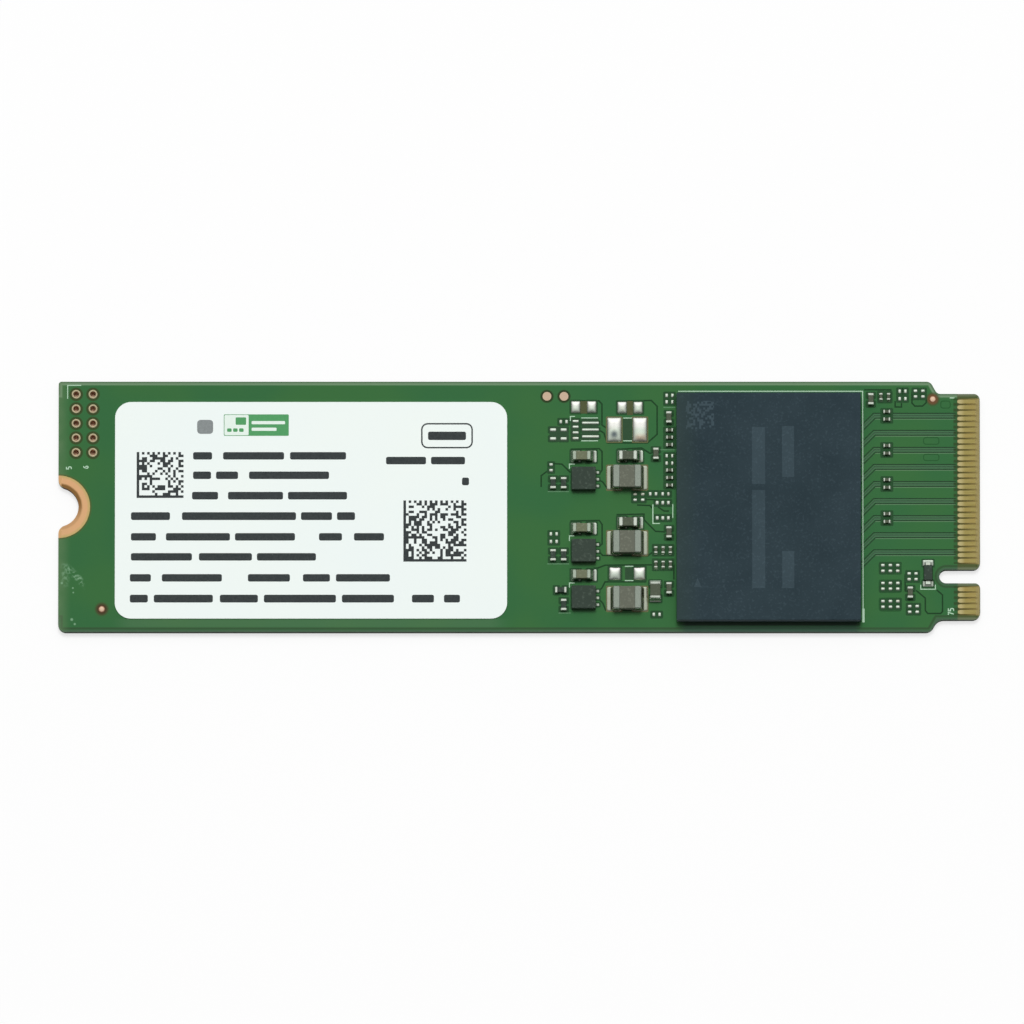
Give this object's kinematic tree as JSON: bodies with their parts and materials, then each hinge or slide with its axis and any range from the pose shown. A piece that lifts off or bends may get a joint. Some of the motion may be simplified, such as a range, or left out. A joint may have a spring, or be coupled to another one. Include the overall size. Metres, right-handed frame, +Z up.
{
  "type": "gumstick solid state drive",
  "caption": "Bare gumstick storage card with a keyed edge connector, a half-round retention notch, one large chip package, a power section and a paper label.",
  "frame": {"origin": "Centre of the card's flat underside, where it lies on a surface.", "axes": "+X along the card towards the edge connector, +Y across it towards the first contact, +Z up from the component side."},
  "size_m": [0.08, 0.022, 0.0021],
  "materials": {
    "board": "green solder mask over glass laminate",
    "gold": "gold plated copper, satin",
    "copper": "bare copper with a clear coat",
    "solder": "reflowed solder",
    "paper": "white paper label with dark and green print",
    "mould": "matte black moulding compound",
    "substrate": "dark laminate carrier",
    "chip_black": "black moulded or glazed chip body",
    "ceramic": "brown fired ceramic",
    "ferrite": "grey pressed metal powder",
    "tin": "tinned end caps and leads"
  },
  "bodies": {
    "root": {"circuit_board": "board", "retention_pad_top": "copper", "retention_pad_bottom": "copper", "edge_contacts_top": "gold", "edge_contacts_bottom": "gold", "header_barrels": "copper", "test_pads": "copper", "fiducial_marks": "copper", "solder_lands": "solder", "label": "paper", "package_substrate": "substrate", "package_mould": "mould", "package_solder_balls": "solder", "regulator_1": "chip_black", "regulator_1_leads": "tin", "inductor_1": "ferrite", "inductor_1_terminals": "tin", "input_capacitor_1": "ceramic", "input_capacitor_1_terminals": "tin", "regulator_2": "chip_black", "regulator_2_leads": "tin", "inductor_2": "ferrite", "inductor_2_terminals": "tin", "input_capacitor_2": "ceramic", "input_capacitor_2_terminals": "tin", "regulator_3": "chip_black", "regulator_3_leads": "tin", "inductor_3": "ferrite", "inductor_3_terminals": "tin", "input_capacitor_3": "ceramic", "input_capacitor_3_terminals": "tin", "output_capacitor_1": "ceramic", "output_capacitor_1_terminals": "tin", "output_capacitor_2": "ceramic", "output_capacitor_2_terminals": "tin", "bulk_capacitor": "ceramic", "bulk_capacitor_terminals": "tin", "bypass_capacitor_1": "ceramic", "bypass_capacitor_1_terminals": "tin", "bypass_capacitor_2": "ceramic", "bypass_capacitor_2_terminals": "tin", "bypass_capacitor_3": "ceramic", "bypass_capacitor_3_terminals": "tin", "bypass_capacitor_4": "ceramic", "bypass_capacitor_4_terminals": "tin", "bypass_capacitor_5": "ceramic", "bypass_capacitor_5_terminals": "tin", "bypass_capacitor_6": "ceramic", "bypass_capacitor_6_terminals": "tin", "coupling_capacitors": "ceramic", "coupling_capacitor_terminals": "tin", "decoupling_capacitors": "ceramic", "decoupling_capacitor_terminals": "tin", "chip_resistors": "chip_black", "chip_resistor_terminals": "tin", "diode": "chip_black", "diode_leads": "tin"}
  },
  "joints": []
}
